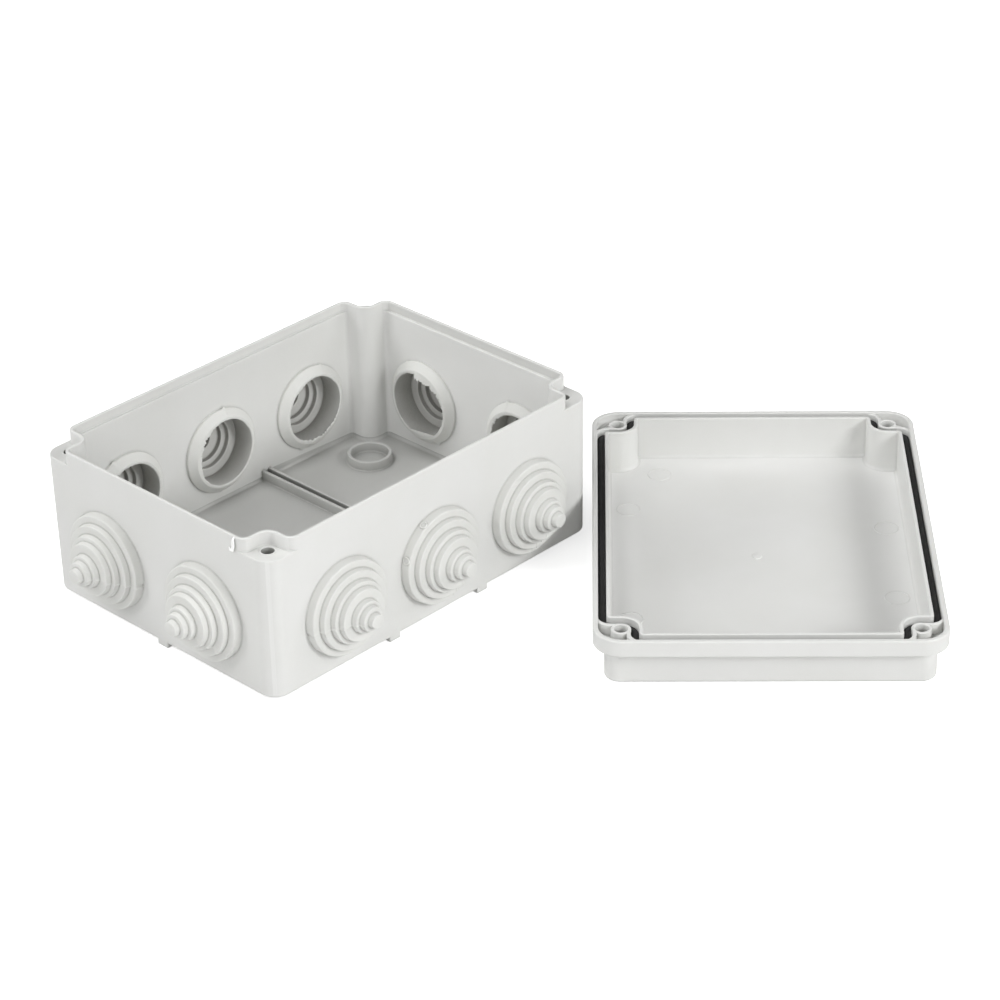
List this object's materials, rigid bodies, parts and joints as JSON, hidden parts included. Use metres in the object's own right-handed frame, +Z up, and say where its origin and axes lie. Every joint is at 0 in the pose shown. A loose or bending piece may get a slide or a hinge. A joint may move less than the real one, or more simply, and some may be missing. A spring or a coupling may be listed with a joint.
{
  "type": "electrical junction box",
  "caption": "Rectangular surface-mount plastic junction box with stepped rubber cable entries, its gasketed screw-on cover lying upside down beside it.",
  "frame": {"origin": "centre of the flat underside of the base, which stands on its back with its open side up", "axes": "+X along the long side of the base, +Y along its short side, +Z up out of the open side"},
  "size_m": [0.2697, 0.2644, 0.0558],
  "materials": {
    "housing": "moulded pale grey ABS, fine satin",
    "entry_rubber": "soft pale grey moulded rubber, matt",
    "gasket": "black rubber strip, matt",
    "screw_steel": "zinc-plated steel"
  },
  "bodies": {
    "base": {"enclosure_base": "housing", "cable_entry_front_left": "entry_rubber", "cable_entry_back_left": "entry_rubber", "cable_entry_front_middle": "entry_rubber", "cable_entry_back_middle": "entry_rubber", "cable_entry_front_right": "entry_rubber", "cable_entry_back_right": "entry_rubber", "cable_entry_left_front": "entry_rubber", "cable_entry_right_front": "entry_rubber", "cable_entry_left_back": "entry_rubber", "cable_entry_right_back": "entry_rubber"},
    "cover_set": {"cover": "housing", "cover_gasket": "gasket"},
    "screw_1": {"cover_screw_1": "screw_steel"},
    "screw_2": {"cover_screw_2": "screw_steel"},
    "screw_3": {"cover_screw_3": "screw_steel"},
    "screw_4": {"cover_screw_4": "screw_steel"}
  },
  "joints": [
    {"name": "cover_lift", "type": "slide", "parent": "base", "child": "cover_set", "axis": [0, 0, 1], "range_m": [0, 0.1]},
    {"name": "cover_screw_1_travel", "type": "slide", "parent": "cover_set", "child": "screw_1", "axis": [0, 0, 1], "range_m": [0, 0.0091]},
    {"name": "cover_screw_2_travel", "type": "slide", "parent": "cover_set", "child": "screw_2", "axis": [0, 0, 1], "range_m": [0, 0.0091]},
    {"name": "cover_screw_3_travel", "type": "slide", "parent": "cover_set", "child": "screw_3", "axis": [0, 0, 1], "range_m": [0, 0.0091]},
    {"name": "cover_screw_4_travel", "type": "slide", "parent": "cover_set", "child": "screw_4", "axis": [0, 0, 1], "range_m": [0, 0.0091]}
  ]
}
